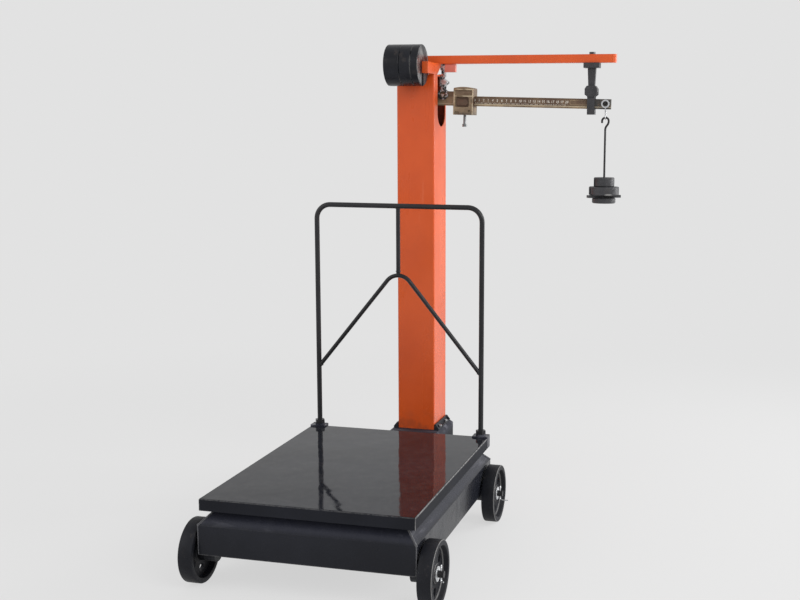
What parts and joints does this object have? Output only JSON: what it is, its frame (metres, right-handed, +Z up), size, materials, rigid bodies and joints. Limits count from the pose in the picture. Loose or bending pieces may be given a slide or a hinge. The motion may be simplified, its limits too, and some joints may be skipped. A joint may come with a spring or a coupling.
{
  "type": "platform scale",
  "caption": "Wheeled platform scale with a guard rail, a square column and a steelyard beam with sliding poise, slotted counterweights and a coupled lever train.",
  "frame": {"origin": "middle of the footprint, on the floor under the wheels", "axes": "+Z up, +X along the steelyard beam, +Y from the platform towards the column"},
  "size_m": [0.7696, 0.8855, 1.1163],
  "materials": {
    "black_paint": "gloss",
    "orange_paint": "semi-gloss",
    "zinc": "plated",
    "brass": "aged",
    "knife_steel": "ground",
    "weight_iron": "enamelled",
    "wheel_iron": "painted casting",
    "dark_iron": "blackened"
  },
  "bodies": {
    "frame": {"base_frame": "black_paint", "front_axle": "zinc", "rear_axle": "zinc", "axle_brackets": "black_paint", "wheel_washers": "zinc", "cotter_pins": "zinc", "fulcrum_bearings": "dark_iron", "column": "orange_paint", "column_cap": "orange_paint", "column_angles": "black_paint", "column_bolts": "zinc", "arm": "orange_paint", "arm_end_cap": "orange_paint", "arm_saddle": "orange_paint", "rack_bar": "orange_paint", "weight_peg": "black_paint", "hanger_lug": "orange_paint", "hanger_bolt": "zinc", "fulcrum_strap": "dark_iron", "fulcrum_stirrup": "zinc", "stop_bracket": "black_paint", "stop_bolt": "dark_iron"},
    "platform": {"deck": "black_paint", "deck_ribs": "black_paint", "deck_feet": "dark_iron", "guard_sockets": "black_paint", "guard_nuts": "black_paint", "guard_bolts": "zinc", "guard_frame": "black_paint", "guard_center_bar": "black_paint", "guard_brace": "black_paint"},
    "long_lever": {"long_lever": "black_paint", "long_lever_knives": "knife_steel", "lever_link": "dark_iron"},
    "short_lever": {"short_lever": "black_paint", "short_lever_knives": "knife_steel"},
    "pull_rod": {"pull_rod": "dark_iron", "rod_lower_shackle": "dark_iron", "rod_upper_shackle": "dark_iron"},
    "beam": {"beam": "brass", "fulcrum_knife": "knife_steel", "load_knife": "knife_steel", "tip_knife": "knife_steel", "balance_stud": "knife_steel"},
    "balance_ball": {"balance_ball": "brass"},
    "poise": {"poise": "brass"},
    "poise_screw": {"poise_screw": "zinc"},
    "tip_stirrup": {"tip_stirrup": "zinc"},
    "hanger": {"hanger_rod": "dark_iron", "hanger_base": "weight_iron"},
    "hanger_weight_lower": {"hanger_weight_lower": "weight_iron"},
    "hanger_weight_upper": {"hanger_weight_upper": "weight_iron"},
    "stored_weight_1": {"stored_weight_1": "weight_iron"},
    "stored_weight_2": {"stored_weight_2": "weight_iron"},
    "stored_weight_3": {"stored_weight_3": "weight_iron"},
    "wheel_front_left": {"wheel_front_left": "wheel_iron"},
    "wheel_front_right": {"wheel_front_right": "wheel_iron"},
    "wheel_rear_left": {"wheel_rear_left": "wheel_iron"},
    "wheel_rear_right": {"wheel_rear_right": "wheel_iron"}
  },
  "joints": [
    {"name": "beam_tilt", "type": "hinge", "parent": "frame", "child": "beam", "pos_m": [-0.05999, 0.38575, 0.994], "axis": [0, -1, 0], "range_deg": [0, 2.54]},
    {"name": "rod_pull", "type": "slide", "parent": "frame", "child": "pull_rod", "axis": [0, 0, -1], "range_m": [0, 0.0026]},
    {"name": "long_lever_tilt", "type": "hinge", "parent": "frame", "child": "long_lever", "pos_m": [-0.11499, -0.34825, 0.133], "axis": [-1, 0, 0], "range_deg": [0, 0.2]},
    {"name": "short_lever_tilt", "type": "hinge", "parent": "frame", "child": "short_lever", "pos_m": [-0.11499, 0.11175, 0.105], "axis": [1, 0, 0], "range_deg": [0, 0.2]},
    {"name": "platform_sink", "type": "slide", "parent": "frame", "child": "platform", "axis": [0, 0, -1], "range_m": [0, 0.0002]},
    {"name": "ball_slide", "type": "slide", "parent": "beam", "child": "balance_ball", "axis": [0.9998, 0, -0.0222], "range_m": [-0.006, 0.006]},
    {"name": "poise_slide", "type": "slide", "parent": "beam", "child": "poise", "axis": [0.9998, 0, -0.0222], "range_m": [0, 0.268]},
    {"name": "screw_turn", "type": "hinge", "parent": "poise", "child": "poise_screw", "pos_m": [-0.00583, 0.38575, 0.93278], "axis": [0.0222, 0, 0.9998], "range_deg": [0, 360]},
    {"name": "tip_swing", "type": "hinge", "parent": "beam", "child": "tip_stirrup", "pos_m": [0.34491, 0.38575, 0.98502], "axis": [0, 1, 0], "range_deg": [-15, 15]},
    {"name": "hanger_swing", "type": "hinge", "parent": "tip_stirrup", "child": "hanger", "pos_m": [0.34491, 0.38575, 0.94622], "axis": [1, 0, 0], "range_deg": [-20, 20]},
    {"name": "lower_weight_lift", "type": "slide", "parent": "hanger", "child": "hanger_weight_lower", "axis": [0, 0, 1], "range_m": [0, 0.05]},
    {"name": "upper_weight_lift", "type": "slide", "parent": "hanger_weight_lower", "child": "hanger_weight_upper", "axis": [0, 0, 1], "range_m": [0, 0.05]},
    {"name": "stored_weight_1_lift", "type": "slide", "parent": "frame", "child": "stored_weight_1", "axis": [0, 0, 1], "range_m": [0, 0.06]},
    {"name": "stored_weight_2_lift", "type": "slide", "parent": "frame", "child": "stored_weight_2", "axis": [0, 0, 1], "range_m": [0, 0.06]},
    {"name": "stored_weight_3_lift", "type": "slide", "parent": "frame", "child": "stored_weight_3", "axis": [0, 0, 1], "range_m": [0, 0.06]},
    {"name": "wheel_front_left_roll", "type": "hinge", "parent": "frame", "child": "wheel_front_left", "pos_m": [-0.36299, -0.37625, 0.0665], "axis": [1, 0, 0], "continuous": true},
    {"name": "wheel_front_right_roll", "type": "hinge", "parent": "frame", "child": "wheel_front_right", "pos_m": [0.13301, -0.37625, 0.0665], "axis": [1, 0, 0], "continuous": true},
    {"name": "wheel_rear_left_roll", "type": "hinge", "parent": "frame", "child": "wheel_rear_left", "pos_m": [-0.36299, 0.13975, 0.0665], "axis": [1, 0, 0], "continuous": true},
    {"name": "wheel_rear_right_roll", "type": "hinge", "parent": "frame", "child": "wheel_rear_right", "pos_m": [0.13301, 0.13975, 0.0665], "axis": [1, 0, 0], "continuous": true}
  ],
  "couplings": [
    {"joint": "rod_pull", "follows": "beam_tilt", "m_per_rad": 0.055},
    {"joint": "long_lever_tilt", "follows": "beam_tilt", "ratio": 0.074932},
    {"joint": "short_lever_tilt", "follows": "beam_tilt", "ratio": 0.074932},
    {"joint": "platform_sink", "follows": "beam_tilt", "m_per_rad": 0.00405}
  ]
}
